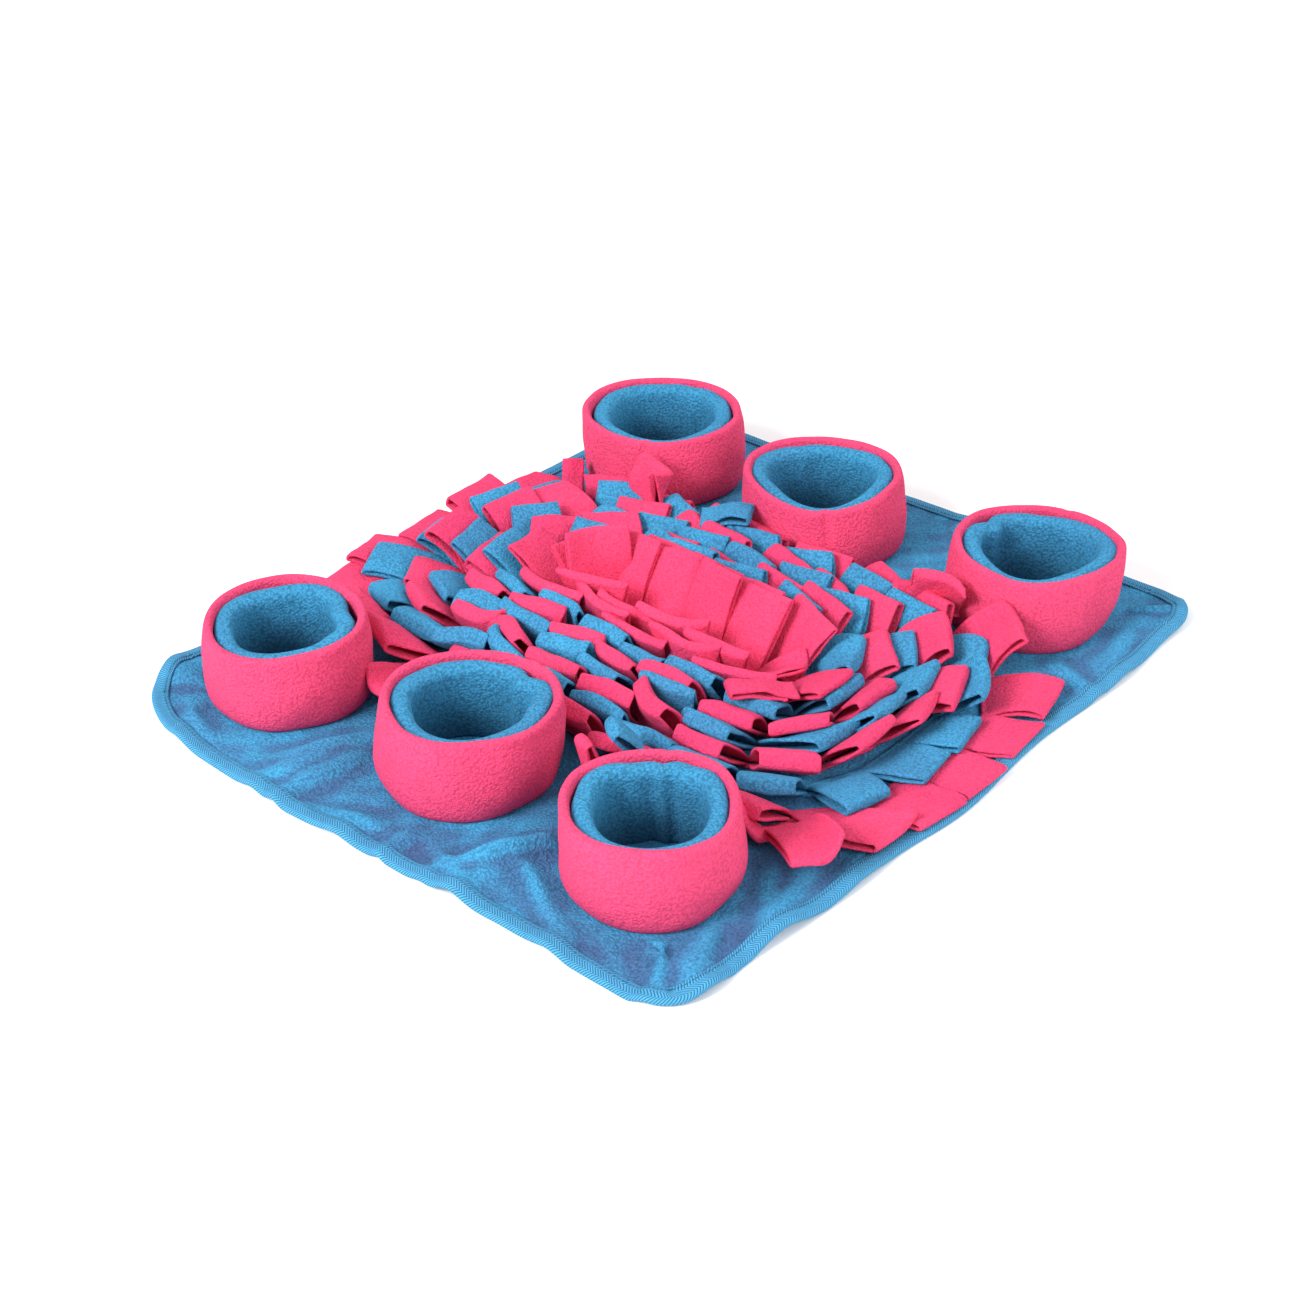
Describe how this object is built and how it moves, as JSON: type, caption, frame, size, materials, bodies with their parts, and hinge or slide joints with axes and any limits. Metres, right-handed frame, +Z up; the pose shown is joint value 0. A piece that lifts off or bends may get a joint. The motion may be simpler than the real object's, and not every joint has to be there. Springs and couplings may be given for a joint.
{
  "type": "snuffle mat",
  "caption": "Fleece snuffle mat with a taped edge, standing cups round the sides and rings of slit fleece loops around a sunken bowl of petals for hiding dry food.",
  "frame": {"origin": "middle of the mat's underside, where it rests", "axes": "+Z up out of the mat; +Y along its long side, from the near row of cups to the far one; +X along a row of cups"},
  "size_m": [0.4994, 0.5796, 0.0605],
  "materials": {
    "pink_fleece": "napped polar fleece, bright pink, matt with a soft pile",
    "blue_fleece": "napped polar fleece, sky blue, matt with a soft pile",
    "blue_tape": "herringbone twill tape, light blue, matt"
  },
  "bodies": {
    "root": {"band_1_far": "blue_fleece", "band_1_left": "blue_fleece", "band_1_near": "blue_fleece", "band_1_right": "blue_fleece", "band_2_far": "pink_fleece", "band_2_left": "pink_fleece", "band_2_near": "pink_fleece", "band_2_right": "pink_fleece", "band_3_far": "blue_fleece", "band_3_left": "blue_fleece", "band_3_near": "blue_fleece", "band_3_right": "blue_fleece", "band_4_far": "pink_fleece", "band_4_left": "pink_fleece", "band_4_near": "pink_fleece", "band_4_right": "pink_fleece", "band_5_far": "blue_fleece", "band_5_left": "blue_fleece", "band_5_near": "blue_fleece", "band_5_right": "blue_fleece", "band_6_far": "pink_fleece", "band_6_left": "pink_fleece", "band_6_near": "pink_fleece", "band_6_right": "pink_fleece", "binding": "blue_tape", "cup_lining_far_left": "blue_fleece", "cup_lining_far_mid": "blue_fleece", "cup_lining_far_right": "blue_fleece", "cup_lining_near_left": "blue_fleece", "cup_lining_near_mid": "blue_fleece", "cup_lining_near_right": "blue_fleece", "cup_wall_far_left": "pink_fleece", "cup_wall_far_mid": "pink_fleece", "cup_wall_far_right": "pink_fleece", "cup_wall_near_left": "pink_fleece", "cup_wall_near_mid": "pink_fleece", "cup_wall_near_right": "pink_fleece", "mat": "blue_fleece", "petals_inner_far": "pink_fleece", "petals_inner_left": "pink_fleece", "petals_inner_near": "pink_fleece", "petals_inner_right": "pink_fleece", "petals_outer_far": "pink_fleece", "petals_outer_left": "pink_fleece", "petals_outer_near": "pink_fleece", "petals_outer_right": "pink_fleece"}
  },
  "joints": []
}
